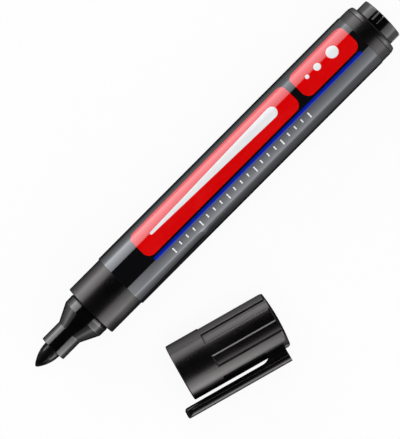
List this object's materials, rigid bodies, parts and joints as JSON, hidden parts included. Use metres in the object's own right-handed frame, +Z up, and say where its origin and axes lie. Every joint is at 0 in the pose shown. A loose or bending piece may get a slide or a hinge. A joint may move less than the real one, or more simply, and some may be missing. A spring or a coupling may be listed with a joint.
{
  "type": "permanent marker with its cap off",
  "caption": "Bullet-nib permanent marker lying beside its removed cap: printed barrel, nose, nib, ink store and end plug, with a fluted cap that has a pocket clip and a sealing liner.",
  "frame": {"origin": "centre of the box round pen and cap, on the floor that they lie on", "axes": "+X from the nib to the rear of the pen, +Z up from the floor, the cap on the -Y side"},
  "size_m": [0.13, 0.055, 0.0165],
  "materials": {
    "satin_black": "satin moulded",
    "gloss_black": "gloss moulded",
    "printed_film": "gloss black film with a red printed panel",
    "nib_fibre": "ink-soaked fibre",
    "store_fibre": "ink-soaked fibre",
    "store_film": "thin film",
    "liner": "waxy moulded"
  },
  "bodies": {
    "pen": {"barrel": "satin_black", "printed_film": "printed_film", "nib_holder": "gloss_black", "ink_store": "store_fibre", "store_wrap": "store_film", "end_plug": "gloss_black"},
    "nib": {"nib": "nib_fibre"},
    "cap": {"cap_shell": "satin_black", "sealing_cup": "liner"}
  },
  "joints": [
    {"name": "nib_draw", "type": "slide", "parent": "pen", "child": "nib", "axis": [-1, 0, 0], "range_m": [0, 0.033]},
    {"name": "cap_draw", "type": "slide", "parent": "pen", "child": "cap", "axis": [0.9636, -0.2672, 0], "range_m": [0, 0.021]}
  ]
}
